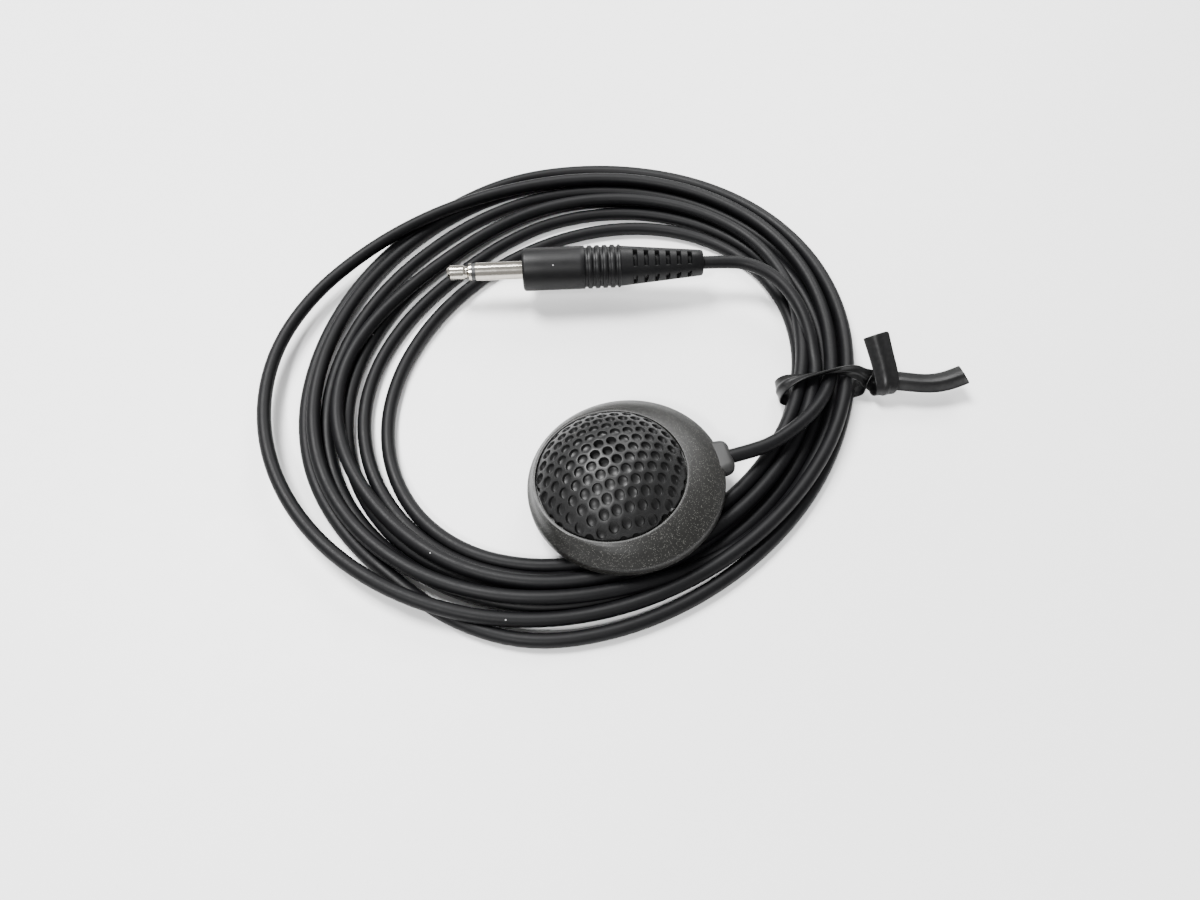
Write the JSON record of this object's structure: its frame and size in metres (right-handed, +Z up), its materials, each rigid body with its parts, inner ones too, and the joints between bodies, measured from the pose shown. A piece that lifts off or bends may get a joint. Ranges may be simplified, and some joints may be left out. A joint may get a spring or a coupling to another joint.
{
  "type": "table-top boundary microphone",
  "caption": "Small round table-top microphone with a perforated dome grille, a thin coiled cord held by a twist tie, and a moulded mini-jack plug.",
  "frame": {"origin": "on the surface that the microphone stands on, under the middle of its box", "axes": "+Z is up from the surface; -X is the way the plug's pin points; +Y runs from the microphone towards the plug"},
  "size_m": [0.1309, 0.1054, 0.0168],
  "materials": {
    "housing": "fine textured dark grey with small bright flecks",
    "screw_steel": "zinc-plated",
    "foot": "matt",
    "grille": "satin dark grey",
    "felt": "black felt",
    "boot": "matt",
    "can": "drawn",
    "film": "metallised film on a ring",
    "holder": "natural moulded",
    "contact_brass": "bright",
    "board": "solder resist",
    "boss": "smooth mid grey",
    "jacket": "semi-matt black jacket",
    "core_insulation": "smooth",
    "shield_copper": "twisted copper",
    "plug_metal": "bright nickel",
    "plug_ring": "black",
    "plug_moulding": "semi-matt black moulding",
    "tie_ribbon": "smooth black ribbon"
  },
  "bodies": {
    "root": {"top_shell": "housing", "bottom_cover": "housing", "housing_screws": "screw_steel", "foot_pad": "foot", "dome_grille": "grille", "grille_felt": "felt", "capsule_boot": "boot", "capsule_can": "can", "capsule_dust_cloth": "felt", "capsule_diaphragm": "film", "capsule_spacer": "holder", "capsule_backplate": "contact_brass", "capsule_holder": "holder", "capsule_contact_ring": "contact_brass", "capsule_board": "board", "transistor": "plug_moulding", "cord_boss": "boss", "cord_tail": "jacket", "core_wire": "core_insulation", "shield_wire": "shield_copper", "plug_tip": "plug_metal", "plug_insulator": "plug_ring", "plug_sleeve": "plug_metal", "plug_rear_insulator": "plug_ring", "plug_tip_lug": "contact_brass", "plug_sleeve_lug": "contact_brass", "plug_body": "plug_moulding", "plug_cord_tail": "jacket", "plug_core_wire": "core_insulation", "plug_shield_wire": "shield_copper", "cord_lead_mic": "jacket", "cord_coil": "jacket", "cord_lead_plug": "jacket", "twist_tie": "tie_ribbon"}
  },
  "joints": []
}
